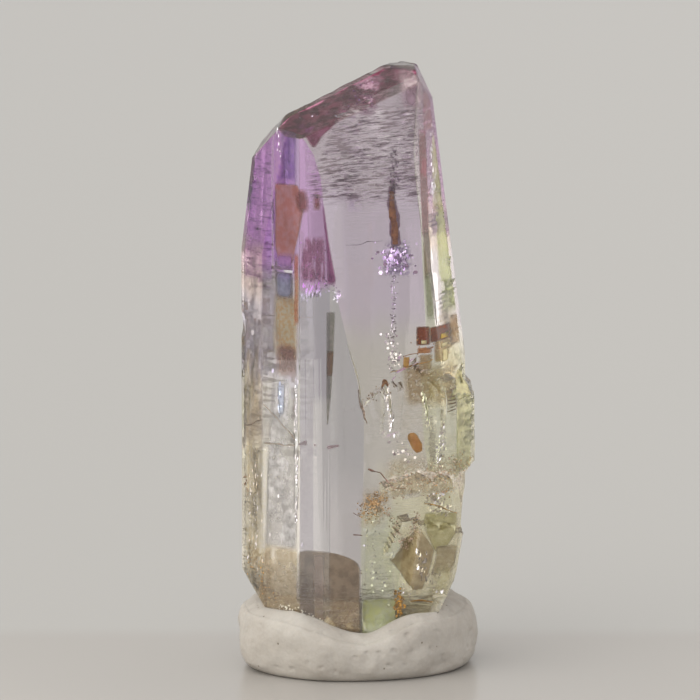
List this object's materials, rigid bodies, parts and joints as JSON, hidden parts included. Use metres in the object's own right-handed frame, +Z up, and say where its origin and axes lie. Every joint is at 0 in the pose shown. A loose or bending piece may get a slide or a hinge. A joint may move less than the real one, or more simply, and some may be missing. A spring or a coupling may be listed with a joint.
{
  "type": "tanzanite crystal",
  "caption": "Upright tanzanite crystal, violet above and yellow-green below, with a slanted termination, standing in a flat-bottomed pad of off-white mounting putty.",
  "frame": {"origin": "on the flat underside of the putty, below the middle of the object", "axes": "+Z up along the crystal, +X to the right of its front view, +Y to its back"},
  "size_m": [0.0094, 0.0084, 0.0235],
  "materials": {
    "tanzanite": "clear crystal with vitreous faces, violet above, pale lavender in the middle, yellow-green below",
    "putty": "matt, softly dented"
  },
  "bodies": {
    "root": {"tanzanite_crystal": "tanzanite", "mounting_putty": "putty"}
  },
  "joints": []
}
